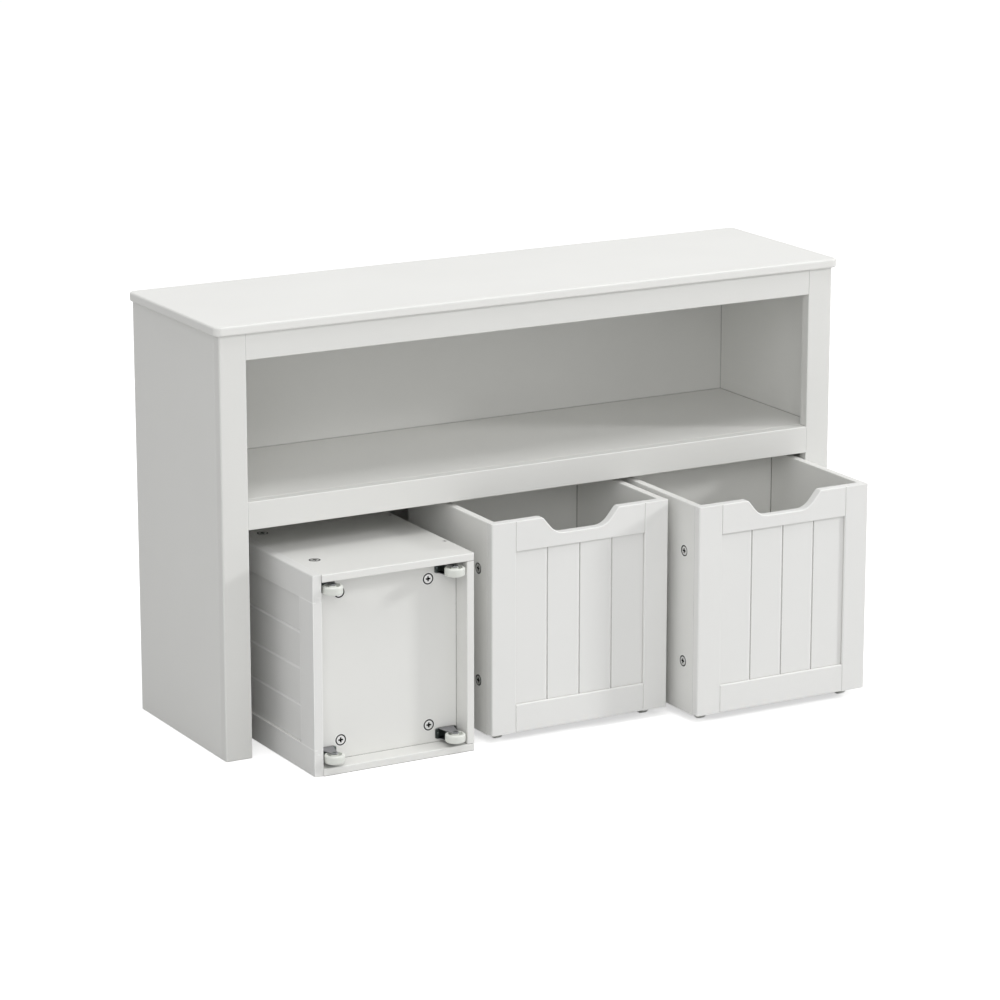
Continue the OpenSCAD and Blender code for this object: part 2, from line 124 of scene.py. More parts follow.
def add_node(tree, kind, inputs=None, **settings):
    """Adds a node with its settings. An input given as a socket is linked, a hex colour is made linear, and
    any other value is set on the input."""
    made = tree.nodes.new(kind)
    for name, value in settings.items():
        setattr(made, name, value)
    for name, value in (inputs or {}).items():
        if isinstance(value, bpy.types.NodeSocket):
            tree.links.new(value, made.inputs[name])
        else:
            made.inputs[name].default_value = linear(value) if isinstance(value, str) else value
    return made


def new_material(name):
    """An empty material, its node tree and its Object coordinates, which are metres on the piece."""
    material = bpy.data.materials.new(name)
    material.use_nodes = True
    tree = material.node_tree
    tree.nodes.clear()
    return material, tree, add_node(tree, "ShaderNodeTexCoord").outputs["Object"]


# %% [markdown]
# ## Lacquered fibreboard
# The boards are fibreboard sprayed with white polyurethane lacquer. It has no grain. What gives it away is a
# satin sheen that breaks up slightly, a faint orange peel left by the spray gun, and a white that drifts a
# little from patch to patch. A flat white would look like paper, so noise at the size of the peel drives a
# bump and broad noise moves the colour. The real peel is about 0.8 mm across, and 1.6 mm is used here,
# because finer bumps would be lost between pixels. Two more tones are painted in, both found by occlusion
# nodes: in seams and inner corners a grey painted shade, which draws the grey lines between the boards, and
# on edges a near-white painted highlight about a millimetre wide. The thin back board has a foil in place of
# lacquer, duller and with a coarser, flatter grain of bumps.


# %% White lacquer
def free_space(tree, reach_mm, low, high, **settings):
    """0 where less than low of the space within reach of a point is free, and 1 from high on. With
    inside=True it looks into the board instead, and finds its edges. An occlusion node measures the space.
    The result is the mask for painted shade in seams and recesses and for painted highlights on edges."""
    space = add_node(tree, "ShaderNodeAmbientOcclusion", {"Distance": reach_mm * MM}, samples=4, **settings)
    scaled = add_node(tree, "ShaderNodeMapRange", {
        "Value": space.outputs["AO"], "From Min": low, "From Max": high})
    return scaled.outputs["Result"]


def lacquer(name, light_tone, dark_tone, seam_shade_tone, roughness, peel_mm=1.6, peel_depth_mm=0.03):
    """Sprayed lacquer: two close tones mixed by broad noise, a grey painted shade in seams and inner corners,
    a near-white painted highlight on edges, and a fine bump from the spray."""
    material, tree, place = new_material(name)
    patch_mm = 140
    highlight_mm = 1.2
    highlight_free = (0.55, 0.95)
    edge_highlight_white = "#FDFDFC"
    seam_shade_mm = 1.6
    seam_shade_free = (0.42, 0.85)
    sheen_drift = 0.04
    patches = add_node(tree, "ShaderNodeTexNoise", {
        "Vector": place, "Scale": 1 / (patch_mm * MM), "Detail": 2.0})
    coat = add_node(tree, "ShaderNodeMix", {
        mix_factor: patches.outputs["Fac"], mix_first: light_tone, mix_second: dark_tone}, data_type="RGBA")
    # Painted highlight: the board's edges are mixed towards a near-white.
    highlighted = add_node(tree, "ShaderNodeMix", {
        mix_factor: free_space(tree, highlight_mm, *highlight_free, inside=True, only_local=True),
        mix_first: edge_highlight_white, mix_second: coat.outputs[mix_result]}, data_type="RGBA")
    # Painted shade: seams and inner corners are mixed towards the seam tone.
    tone = add_node(tree, "ShaderNodeMix", {
        mix_factor: free_space(tree, seam_shade_mm, *seam_shade_free),
        mix_first: seam_shade_tone, mix_second: highlighted.outputs[mix_result]}, data_type="RGBA")
    peel = add_node(tree, "ShaderNodeTexNoise", {"Vector": place, "Scale": 1 / (peel_mm * MM), "Detail": 1.0})
    bump = add_node(tree, "ShaderNodeBump", {
        "Height": peel.outputs["Fac"], "Strength": 0.35, "Distance": peel_depth_mm * MM})
    sheen = add_node(tree, "ShaderNodeMapRange", {
        "Value": patches.outputs["Fac"],
        "To Min": roughness - sheen_drift, "To Max": roughness + sheen_drift})
    shader = add_node(tree, "ShaderNodeBsdfPrincipled", {
        "Base Color": tone.outputs[mix_result], "Roughness": sheen.outputs["Result"], "IOR": 1.5,
        "Normal": bump.outputs["Normal"]})
    add_node(tree, "ShaderNodeOutputMaterial", {"Surface": shader.outputs[0]})
    return material


# The third tone of each lacquer is the painted shade of its seams and inner corners.
white_lacquer = lacquer("white_lacquer_on_fibreboard", "#E9E9E6", "#E5E5E2", "#91908C", 0.42)
front_lacquer = lacquer("white_lacquer_on_fronts", "#E9E9E7", "#E5E5E3", "#D0CFCC", 0.42)
# The flat flanks' near-white lacquer is a painted highlight, and the steep flanks' grey one a painted shade.
highlight_flank_lacquer = lacquer("lacquer_painted_highlight_on_flat_flanks", "#FBFBFA", "#F8F8F7", "#FAFAF9", 0.36)
shade_flank_lacquer = lacquer("lacquer_painted_shade_on_steep_flanks", "#BCBBB8", "#B4B3B0", "#A9A8A5", 0.5)
frame_lacquer = lacquer("white_lacquer_on_face_frame", "#E4E4E1", "#E0E0DD", "#B4B3AF", 0.42)
white_foil = lacquer("white_foil_on_thin_board", "#E4E4E1", "#DFDFDC", "#91908C", 0.6, 2.4, 0.02)
print("lacquers and foil:", len(bpy.data.materials))

# %% [markdown]
# ## Zinc and steel
# Cams and screws are cast or turned. Their faces carry bright zinc, which looks nearly white, and their rims,
# sides and slots a near-black zinc, painted shade. The caster brackets are stamped steel under a thin zinc
# coat: the film that protects it gives their arms a cold grey tint, and the casters' plates, pins and screws
# take a darker copy of that steel, painted shade. Every metal also gets painted shade in its recesses and a
# painted highlight on its edges. A metal takes its look from what it reflects, so the roughness matters most:
# a mid value with fine grit from the tumbling drum, about 0.5 mm across.


# %% Zinc and steel
def zinc(name, bright_tone, film_tone, edge_highlight_tone, roughness):
    """Plated metal: a tint that drifts between the bare coat and its film, a near-black painted shade in its
    recesses, and a painted highlight on its edges."""
    material, tree, place = new_material(name)
    film_mm = 7
    highlight_mm = 0.6
    highlight_free = (0.4, 0.8)
    recess_shade_mm = 2.4
    recess_shade_free = (0.6, 0.86)
    recess_shade_tone = "#0C0C0E"
    grit_mm = 0.5
    grit_depth_mm = 0.02
    rough_drift = 0.08
    film = add_node(tree, "ShaderNodeTexNoise", {"Vector": place, "Scale": 1 / (film_mm * MM), "Detail": 3.0})
    coat = add_node(tree, "ShaderNodeMix", {
        mix_factor: film.outputs["Fac"], mix_first: bright_tone, mix_second: film_tone}, data_type="RGBA")
    # Painted highlight: the edges are mixed towards the edge tone.
    highlighted = add_node(tree, "ShaderNodeMix", {
        mix_factor: free_space(tree, highlight_mm, *highlight_free, inside=True, only_local=True),
        mix_first: edge_highlight_tone, mix_second: coat.outputs[mix_result]}, data_type="RGBA")
    # Painted shade: recesses, slots and gaps are mixed towards near-black.
    tint = add_node(tree, "ShaderNodeMix", {
        mix_factor: free_space(tree, recess_shade_mm, *recess_shade_free),
        mix_first: recess_shade_tone, mix_second: highlighted.outputs[mix_result]}, data_type="RGBA")
    grit = add_node(tree, "ShaderNodeTexNoise", {"Vector": place, "Scale": 1 / (grit_mm * MM), "Detail": 2.0})
    rough = add_node(tree, "ShaderNodeMapRange", {
        "Value": grit.outputs["Fac"], "To Min": roughness - rough_drift, "To Max": roughness + rough_drift})
    bump = add_node(tree, "ShaderNodeBump", {
        "Height": grit.outputs["Fac"], "Strength": 0.2, "Distance": grit_depth_mm * MM})
    shader = add_node(tree, "ShaderNodeBsdfPrincipled", {
        "Base Color": tint.outputs[mix_result], "Metallic": 1.0, "Roughness": rough.outputs["Result"],
        "Normal": bump.outputs["Normal"]})
    add_node(tree, "ShaderNodeOutputMaterial", {"Surface": shader.outputs[0]})
    return material


# The third tone of each metal is its painted edge highlight.
bright_zinc = zinc("bright_cast_zinc", "#F6F6F5", "#EBEBEA", "#F6F6F5", 0.45)
# Near-black zinc, painted shade, for the fittings' rims, sides and slots.
rim_shade_zinc = zinc("zinc_painted_shade_on_rims_and_slots", "#161617", "#0C0C0D", "#1C1C1D", 0.5)
arm_steel = zinc("zinc_plated_steel", "#ABABAF", "#8B8B90", "#F0F0F2", 0.34)
# A darker copy of the arm steel, painted shade, for the caster plates, pins and screws.
plate_shade_steel = zinc("steel_painted_shade_on_plates_and_pins", "#646C6A", "#4A514F", "#A6AAAA", 0.32)
print("materials so far:", len(bpy.data.materials))

# %% [markdown]
# ## Nylon and beech
# The wheels are moulded in white nylon, a little glossier than the boards and faintly cloudy, because the
# melt cools unevenly in the mould. The dowels are turned from beech, matt and pale brown. Both are plain
# solids with a fine skin, so one function makes them from two close tones and a shallow bump. Beech has pores
# too, which are left out, because the dowels sit inside the boards.


# %% Nylon and beech
def plain_solid(name, light_tone, dark_tone, roughness, ior):
    """A moulded or turned solid: a faint cloudy tone and a fine skin."""
    material, tree, place = new_material(name)
    cloud_mm = 9
    skin_mm = 0.6
    skin_depth_mm = 0.01
    cloud = add_node(tree, "ShaderNodeTexNoise", {
        "Vector": place, "Scale": 1 / (cloud_mm * MM), "Detail": 2.0})
    tone = add_node(tree, "ShaderNodeMix", {
        mix_factor: cloud.outputs["Fac"], mix_first: light_tone, mix_second: dark_tone}, data_type="RGBA")
    skin = add_node(tree, "ShaderNodeTexNoise", {"Vector": place, "Scale": 1 / (skin_mm * MM)})
    bump = add_node(tree, "ShaderNodeBump", {
        "Height": skin.outputs["Fac"], "Strength": 0.2, "Distance": skin_depth_mm * MM})
    shader = add_node(tree, "ShaderNodeBsdfPrincipled", {
        "Base Color": tone.outputs[mix_result], "Roughness": roughness, "IOR": ior,
        "Normal": bump.outputs["Normal"]})
    add_node(tree, "ShaderNodeOutputMaterial", {"Surface": shader.outputs[0]})
    return material


nylon = plain_solid("moulded_nylon", "#E6E8E3", "#DADDD6", 0.3, 1.53)
beech = plain_solid("turned_beech", "#D2A878", "#BF9060", 0.6, 1.45)

# %% Give each node its finish
finishes = {"white_board": white_lacquer, "back_board": white_foil, "zinc_steel": bright_zinc, "nylon": nylon,
            "beech": beech}
slot_of = {part["node"]: part["material_slot"] for part in frame["record"]["subparts"]}
for node_name, node_object in frame["nodes"].items():
    node_object.data.materials.clear()
    node_object.data.materials.append(finishes[slot_of[node_name]])
print("finished nodes:", len(slot_of))

# %% [markdown]
# ## Where the pieces go
# Each bin has a frame of its own: X across it, Y from its front to its back, Z up from the lower edges of
# its walls. The three bins are alike, so a piece is shaped once in that frame and placed three times. Two
# bins stand upright. The left one lies on its left wall, which turns its X up and its front to the left.
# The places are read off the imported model.

# %% Find the bins' places


def box_mm(node):
    """Lowest and highest corner of a CAD node, in millimetres."""
    return [np.array(corner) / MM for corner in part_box(node)]


def bin_marks(b):
    """Middle of a bin's front panel, and the lowest corners of its left wall and its left stile."""
    front_low, front_high = box_mm(f"{b}_bin_front_panel")
    wall_low, _ = box_mm(f"{b}_bin_left_wall")
    stile_low, _ = box_mm(f"{b}_bin_front_left_stile")
    return (front_low + front_high) / 2, wall_low, stile_low


def standing(b):
    """Place of a bin that stands on its wheels."""
    middle, wall_low, stile_low = bin_marks(b)
    return Matrix.Translation((middle[0], stile_low[1], wall_low[2]))


def tipped(b):
    """Place of a bin that lies on its left wall with its front to the left."""
    middle, wall_low, stile_low = bin_marks(b)
    turn = Matrix(((0, 1, 0, 0), (0, 0, 1, 0), (1, 0, 0, 0), (0, 0, 0, 1)))
    return Matrix.Translation((stile_low[0], wall_low[1], middle[2])) @ turn


bin_place = {"left": tipped("left"), "middle": standing("middle"), "right": standing("right")}
for b in bins:
    print(b, "bin at", [round(value, 2) for value in bin_place[b].translation])

# %% [markdown]
# ## Pieces from arrays
# Most new pieces are a closed loop carried along a path: a wheel is its section carried round the axle, a
# screw head a circle carried along its axis, the beaded panel a profile carried upwards. So one function
# skins a stack of loops, held in an array of rows, columns and coordinates in millimetres, and closes it.

# %% Helpers for pieces
crease = radians(32)


def add_piece(name, mesh, node, *materials):
    """Makes an object of a mesh, which stands for a CAD node and rides on its body. It has the node's finish,
    unless it is given materials of its own."""
    piece = bpy.data.objects.new(name, mesh)
    bpy.context.scene.collection.objects.link(piece)
    for material in materials or [finishes[slot_of[node]]]:
        mesh.materials.append(material)
    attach(piece, frame["nodes"][node]["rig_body"])
    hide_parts(node)
    return piece


def shade_flat(piece):
    """Turns the normals along a piece's rounds towards its large flat faces, and keeps sharp edges sharp."""
    piece.modifiers.new("shade", "WEIGHTED_NORMAL").keep_sharp = True
    return piece


def finish_skin(skin, name):
    """Writes a skin given in millimetres to a mesh in metres, smooth except at its creases."""
    bmesh.ops.recalc_face_normals(skin, faces=skin.faces)
    skin.transform(Matrix.Scale(MM, 4))
    for face in skin.faces:
        face.smooth = True
    for edge in skin.edges:
        edge.smooth = len(edge.link_faces) != 2 or edge.calc_face_angle() < crease
    mesh = bpy.data.meshes.new(name)
    skin.to_mesh(mesh)
    skin.free()
    return mesh


def stacked(points, close_rows=False):
    """Skin of a stack of closed loops, points[row, column]. Its end loops are capped, or joined."""
    rows, columns = points.shape[:2]
    i, j = np.meshgrid(np.arange(rows if close_rows else rows - 1), np.arange(columns), indexing="ij")
    up, on = (i + 1) % rows, (j + 1) % columns
    corners = [i * columns + j, up * columns + j, up * columns + on, i * columns + on]
    faces = np.stack(corners, -1).reshape(-1, 4).tolist()
    if not close_rows:
        faces += [list(range(columns))[::-1], list(range((rows - 1) * columns, rows * columns))]
    mesh = bpy.data.meshes.new("stack")
    mesh.from_pydata(points.reshape(-1, 3).tolist(), [], faces)
    skin = bmesh.new()
    skin.from_mesh(mesh)
    bpy.data.meshes.remove(mesh)
    return skin


# %% [markdown]
# ## The top board
# The top board is the one piece whose corners are rounded in plan, with a softly rounded edge all round. Its
# skin is an outline carried down the edge: each level is the rounded rectangle drawn in by as much as the
# edge's section has curved away. A Bevel modifier could round a sharp board too, but the two radii differ and
# meet at the corners, which is plain to write as levels.

# %% A path with round corners


def rounded(corners, radii, steps=5):
    """Closed path round a polygon with an arc at each corner. Between the arc's ends a and b, seen from its
    centre and w apart, a point is (sin((1 - t) w) a + sin(t w) b) / sin(w)."""
    corners = np.array(corners, float)
    radii = np.array(radii, float)[:, None]
    back = np.roll(corners, 1, 0) - corners
    ahead = np.roll(corners, -1, 0) - corners
    back /= np.linalg.norm(back, axis=1, keepdims=True)
    ahead /= np.linalg.norm(ahead, axis=1, keepdims=True)
    half = np.arccos(np.clip((back * ahead).sum(1, keepdims=True), -1, 1)) / 2
    middle = (back + ahead) / np.linalg.norm(back + ahead, axis=1, keepdims=True)
    centre = corners + middle * radii / np.sin(half)
    start = corners + back * radii / np.tan(half) - centre
    finish = corners + ahead * radii / np.tan(half) - centre
    turn = (pi - 2 * half)[:, None]
    t = np.linspace(0, 1, steps + 1)[None, :, None]
    arc = (np.sin((1 - t) * turn) * start[:, None] + np.sin(t * turn) * finish[:, None]) / np.sin(turn)
    return (centre[:, None] + arc).reshape(-1, 2)


# %% Make the top board
top_low, top_high = box_mm("top_board")
corner_r = 10.0
corner_steps = 12
edge_r = 2.5
edge_steps = 8


def top_board_skin(low, high):
    """Levels of the board: where the edge's section has turned by a, the rounded rectangle is drawn in by
    edge_r (1 - cos a) and lies edge_r (1 - sin a) inside the board's face."""
    turn = np.linspace(0, pi / 2, edge_steps + 1)
    drawn_in = edge_r * (1 - np.concatenate([np.cos(turn[::-1]), np.cos(turn)]))
    off_face = edge_r * (1 - np.sin(turn))
    height = np.concatenate([low[2] + off_face[::-1], high[2] - off_face])
    plan = np.array([[low[0], low[1]], [high[0], low[1]], [high[0], high[1]], [low[0], high[1]]])
    inward = np.sign((low[:2] + high[:2]) / 2 - plan)
    levels = []
    for inset, z in zip(drawn_in, height):
        loop = rounded(plan + inward * inset, [corner_r - inset] * 4, corner_steps)
        levels.append(np.column_stack([loop, np.full(len(loop), z)]))
    return stacked(np.array(levels))


slab = finish_skin(top_board_skin(top_low, top_high), "top_board_slab")
shade_flat(add_piece("top_board_slab", slab, "top_board"))
print("top board:", np.round(top_high - top_low, 1), "mm,", len(slab.polygons), "faces")

# %% [markdown]
# ## Boards with eased edges
# No real board has knife edges. They are sanded to a radius of about a millimetre before the lacquer goes
# on, and each of those small rounds catches a thin line of light, which the picture shows along every edge
# and beside the joints. The CAD boards are sharp, so each is copied, its loose triangles are welded into one
# skin, and a Bevel modifier rounds its convex edges. Edges that hands touch, on the fronts, are softer. Bores
# stay sharp, as the drill leaves them. So does the back panel, a thin board sawn from a foiled sheet.

# %% Helpers for eased boards
weld_mm = 0.002
flat_turn = radians(0.5)
corner_mm = 2.2
widest_mm = 2.0
ease_steps = 3


def welded(node, join_flat=True):
    """A CAD node's loose triangles as one skin in millimetres: corners merged, and flat triangles joined."""
    skin = bmesh.new()
    skin.from_mesh(frame["nodes"][node].data)
    skin.transform(Matrix.Scale(1 / MM, 4))
    bmesh.ops.remove_doubles(skin, verts=skin.verts, dist=weld_mm)
    if join_flat:
        bmesh.ops.dissolve_limit(skin, angle_limit=flat_turn, verts=skin.verts, edges=skin.edges)
    return skin


def is_sharp(edge):
    """True for a convex edge that turns by more than a facet of a round surface does."""
    return len(edge.link_faces) == 2 and edge.is_convex and edge.calc_face_angle() > crease


def weigh_edges(skin, shortest_mm, rule):
    """Bevel weights of the long sharp edges and of those at the board's corners. The rule gives each a width
    from its middle and the board's box, and the weight is its share of widest_mm. Bores stay sharp."""
    weight = skin.edges.layers.float.new("bevel_weight_edge")
    corners = np.array([corner.co for corner in skin.verts])
    low, high = corners.min(0), corners.max(0)
    for edge in filter(is_sharp, skin.edges):
        middle = np.array((edge.verts[0].co + edge.verts[1].co) / 2)
        at_corner = np.all(np.minimum(middle - low, high - middle) < corner_mm)
        if edge.calc_length() > shortest_mm or at_corner:
            edge[weight] = rule(middle, low, high) / widest_mm


def eased_copy(node, shortest_mm, rule, *materials, place=Matrix()):
    """A copy of a CAD node with rounded edges, whose widths the rule gives in the frame of place."""
    skin = welded(node)
    skin.transform(place.inverted())
    weigh_edges(skin, shortest_mm, rule)
    skin.transform(place)
    piece = add_piece(node + "_eased", finish_skin(skin, node), node, *materials)
    bevel = piece.modifiers.new("ease", "BEVEL")
    bevel.limit_method = "WEIGHT"
    bevel.width = widest_mm * MM
    bevel.segments = ease_steps
    bevel.use_clamp_overlap = False
    return shade_flat(piece)


# %% Ease the boards of the cabinet
straight_mm = 6.0
on_face_mm = 0.1
board_ease = 1.0
outer_ease = 1.8


def even(width):
    """A rule that gives every edge the same width."""
    return lambda middle, low, high: width


def left_stile_rule(middle, low, high):
    """Softer on the front's outer edge, here on the left."""
    return outer_ease if max(middle[0] - low[0], middle[1] - low[1]) < on_face_mm else board_ease


def right_stile_rule(middle, low, high):
    """Softer on the front's outer edge, here on the right."""
    return outer_ease if max(high[0] - middle[0], middle[1] - low[1]) < on_face_mm else board_ease


for node in ["left_side_panel", "right_side_panel", "shelf"]:
    piece = eased_copy(node, straight_mm, even(board_ease))
    print(piece.name, len(piece.data.polygons), "faces")
for node, rule in (("top_rail", even(board_ease)), ("shelf_rail", even(board_ease)),
                   ("left_stile", left_stile_rule), ("right_stile", right_stile_rule)):
    eased_copy(node, straight_mm, rule, frame_lacquer)

# %% [markdown]
# ## The bins' boards
# A bin is handled all day, so the edges of its front are sanded rounder than those that stay inside. Behind
# the front, the lips of the groove that holds the panel are thin and get only a small round. So do the ends
# of the stiles: their outer corner is an arc already, and a wide bevel would fold over its short pieces.

# %% Ease the boards of the bins
wall_ease = 1.1
bottom_ease = 0.8
front_ease = 1.3
lip_ease = 0.7
end_ease = 0.5


def rail_rule(middle, low, high):
    """Softer on the front face than behind it, where the lips of the panel's groove are thin."""
    return front_ease if middle[1] - low[1] < on_face_mm else lip_ease


def stile_rule(middle, low, high):
    """As on the rails, and small round the ends, where the outer corner is round already."""
    at_end = min(middle[2] - low[2], high[2] - middle[2]) < on_face_mm
    return end_ease if at_end else rail_rule(middle, low, high)


for b in bins:
    for board in ["left_wall", "right_wall", "back_wall"]:
        eased_copy(f"{b}_bin_{board}", straight_mm, even(wall_ease))
    eased_copy(f"{b}_bin_bottom", straight_mm, even(bottom_ease))
    for side in ["left", "right"]:
        eased_copy(f"{b}_bin_front_{side}_stile", straight_mm, stile_rule, front_lacquer, place=bin_place[b])
    for end in ["top", "bottom"]:
        eased_copy(f"{b}_bin_front_{end}_rail", 0.0, rail_rule, front_lacquer, place=bin_place[b])

# %% [markdown]
# ## The beaded panels
# The panel in each front imitates narrow boards side by side: it is one thin board with V lines cut down it.
# The cutter leaves one flank steeper than the other and their shoulders slightly rounded. The flat flank takes
# a near-white lacquer, a painted highlight, and the steep one a grey lacquer, a painted shade. So each line is
# a white one with a grey one beside it, both about a millimetre wide. The panel is its profile carried upwards.

# %% Make the beaded panels
bead_w = 202.0
bead_low_z = 33.0
bead_high_z = 247.0
bead_face = 4.0
bead_back = 10.0
bead_lines = [-47.5, 0.0, 47.5]
bead_left, bead_bottom, bead_right, bead_depth = -2.1, 0.4, 1.3, 1.5
board_r, flat_shoulder_r, bottom_r, steep_shoulder_r = 0.5, 0.5, 0.15, 0.3
flank_tilt = 0.3


def bead_profile():
    """Loop of the panel seen from above: flat back, and a face with V lines whose corners are rounded. A line
    goes from bead_left down to bead_bottom and up to bead_right, measured along X from its middle."""
    corners = [(-bead_w / 2, bead_back), (-bead_w / 2, bead_face)]
    radii = [board_r, board_r]
    for x in bead_lines:
        corners += [(x + bead_left, bead_face), (x + bead_bottom, bead_face + bead_depth),
                    (x + bead_right, bead_face)]
        radii += [flat_shoulder_r, bottom_r, steep_shoulder_r]
    corners += [(bead_w / 2, bead_face), (bead_w / 2, bead_back)]
    return rounded(corners, radii + [board_r, board_r])


profile = bead_profile()
for b in bins:
    levels = [np.column_stack([profile, np.full(len(profile), z)]) for z in (bead_low_z, bead_high_z)]
    skin = stacked(np.array(levels))
    bmesh.ops.recalc_face_normals(skin, faces=skin.faces)
    # Faces turned to the right take the near-white lacquer, a painted highlight, and faces turned to the left
    # the grey one, a painted shade.
    for face in skin.faces:
        face.material_index = int(face.normal.x > flank_tilt) + 2 * int(face.normal.x < -flank_tilt)
    skin.transform(bin_place[b])
    node = f"{b}_bin_front_panel"
    panel = finish_skin(skin, node)
    shade_flat(add_piece(node + "_beaded", panel, node, front_lacquer, highlight_flank_lacquer, shade_flank_lacquer))
print("bead profile:", len(profile), "points")

# %% [markdown]
# ## The wheels
# The wheels are moulded in one piece of nylon: a hub, a thin web and a rim with rounded shoulders, hollowed
# from both sides. The mould leaves small radii everywhere, and they carry the highlights. A wheel could be
# cut from a cylinder, but its section carried round the axle gives those radii for nothing.

# %% Make the wheels
wheel_x = 109.0
wheel_y = {"front": 28.0, "back": 199.0}
bore_r, hub_r, web_half, rim_in_r, tread_r, half_w = 2.08, 4.6, 1.5, 9.5, 13.0, 5.5
draft = 0.3
wall_lift = 10.0
wheel_z = tread_r - wall_lift
wheel_sides = 72


def turned(section, sides):
    """Loops of a solid turned round X. The section holds (x, radius) pairs, and each makes a loop."""
    angle = np.linspace(0, 2 * pi, sides, endpoint=False)
    x, radius = np.array(section, float).T
    along = np.broadcast_to(x[:, None], (len(x), sides))
    return np.stack([along, radius[:, None] * np.cos(angle), radius[:, None] * np.sin(angle)], -1)


def wheel_section():
    """Loop of (x, radius) pairs round the wheel's section, with the moulding radii at its corners."""
    right = [(half_w, bore_r, 0.3), (half_w, hub_r, 0.5), (web_half, hub_r + draft, 0.9),
             (web_half, rim_in_r - draft, 1.2), (half_w, rim_in_r, 0.5), (half_w, tread_r, 2.5)]
    left = [(-x, radius, bend) for x, radius, bend in reversed(right)]
    corners = np.array(right + left)
    return rounded(corners[:, :2], corners[:, 2], steps=6)


section = wheel_section()
for b in bins:
    for end, y in wheel_y.items():
        for side, sign in (("left", -1), ("right", 1)):
            skin = stacked(turned(section, wheel_sides), close_rows=True)
            skin.transform(bin_place[b] @ Matrix.Translation((sign * wheel_x, y, wheel_z)))
            node = f"{b}_bin_wheel_{end}_{side}"
            add_piece(node + "_moulded", finish_skin(skin, node), node)
print("wheel:", len(section) * wheel_sides, "points each")

# %% [markdown]
# ## The casters
# A caster's bracket is a strip of steel bent to a U: its plate is screwed under the bottom panel, and its
# arms narrow to the axle pin, which is riveted over outside them. The strip is a thin rectangle carried
# along the U, and its half width changes on the way: wide on the plate, less on the arms, round at the ends.

# %% Make the brackets
plate_z = 29.0
sheet_t = 1.2
arm_out_x = 7.2
bend_r = 1.6
plate_half = 15.0
arm_half = 11.0
arm_end_r = 4.5
strip_cut = 0.25
end_points, arm_points, bend_points = 10, 6, 6
least_half = 0.05
least_half_mm2 = 0.02


def bracket_path():
    """Outer face of the U from one arm's end to the other: points, outward directions and half widths. Round
    the arm's end the half width is the root of arm_end_r squared less the height from the axle squared, and
    least_half_mm2 keeps the very end from closing to a point."""
    low = wheel_z - arm_end_r * np.cos(np.linspace(0, pi / 2, end_points))
    arm_z = np.concatenate([low, np.linspace(wheel_z, plate_z - bend_r, arm_points)[1:]])
    round_end = np.sqrt(np.maximum(arm_end_r ** 2 - (arm_z - wheel_z) ** 2, least_half_mm2))
    taper = arm_end_r + (arm_half - arm_end_r) * (arm_z - wheel_z) / (plate_z - wheel_z)
    arm_w = np.where(arm_z < wheel_z, round_end, taper)
    bend = np.linspace(0, pi / 2, bend_points + 1)[1:]
    bend_x = arm_out_x - bend_r * (1 - np.cos(bend))
    bend_z = plate_z - bend_r * (1 - np.sin(bend))
    bend_w = arm_half + (plate_half - arm_half) * np.linspace(0, 1, bend_points) ** 0.5
    x = np.concatenate([np.full(len(arm_z), arm_out_x), bend_x])
    z = np.concatenate([arm_z, bend_z])
    out = np.concatenate([np.zeros(len(arm_z)), bend])
    width = np.concatenate([arm_w, bend_w])
    side = np.stack([x, z, np.cos(out), np.sin(out), width], -1)
    return np.concatenate([side, (side * [-1, 1, -1, 1, 1])[::-1]])


def bracket_loops():
    """The strip's rectangle at each point of the path: its half width to either side, but no less than
    least_half, sheet_t through it, and its corners cut by strip_cut."""
    path = bracket_path()[:, None]
    across = np.array([-1, 1, 1, 1, 1, -1, -1, -1])
    short = np.array([strip_cut, strip_cut, 0, 0, strip_cut, strip_cut, 0, 0])
    inner_cut = sheet_t - strip_cut
    through = np.array([0, 0, strip_cut, inner_cut, sheet_t, sheet_t, inner_cut, strip_cut])
    y = across * np.maximum(path[..., 4] - short, least_half)
    return np.stack([path[..., 0] - through * path[..., 2], y, path[..., 1] - through * path[..., 3]], -1)


print("bracket:", len(bracket_path()), "points along its strip")

# %% [markdown]
# ## Pins and plate screws
# The axle pin's ends are hammered to low domes over the arms, and two screws with pan heads hold each plate.
# Both are turned round their own axis from a short section, as the wheels are. The steel parts of a bin's
# four casters then become one piece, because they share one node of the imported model.

# %% Make the pins and the plate screws
pin_r, pin_head_r, pin_head_out, pin_end = 2.0, 3.0, 7.25, 8.05
screw_r, screw_head_r, screw_head_t, screw_l = 1.2, 2.5, 1.2, 8.0
screw_off = 11.0
pin_dome, screw_dome = 0.6, 0.5
pole_r = 0.1
pin_cut = 0.1
point_l = 1.5
pin_sides, screw_sides = 32, 28
dome_points = 6
plate_slack = 0.3


def pin_section():
    """Pairs of (x, radius) along the pin, a domed head at each end and the shank between them. Where a dome
    has turned by a, it lies pin_dome (1 - cos a) inside its top, which is a flat spot of radius pole_r."""
    dome = np.linspace(0, pi / 2, dome_points)[:-1]
    head_x = pin_end - pin_dome * (1 - np.cos(dome))
    head = np.stack([head_x, pole_r + (pin_head_r - pole_r) * np.sin(dome)], -1)
    side = np.concatenate([head, [[pin_head_out + pin_cut, pin_head_r], [pin_head_out, pin_head_r - pin_cut],
                                  [pin_head_out, pin_r]]])
    return np.concatenate([side, (side * [-1, 1])[::-1]])


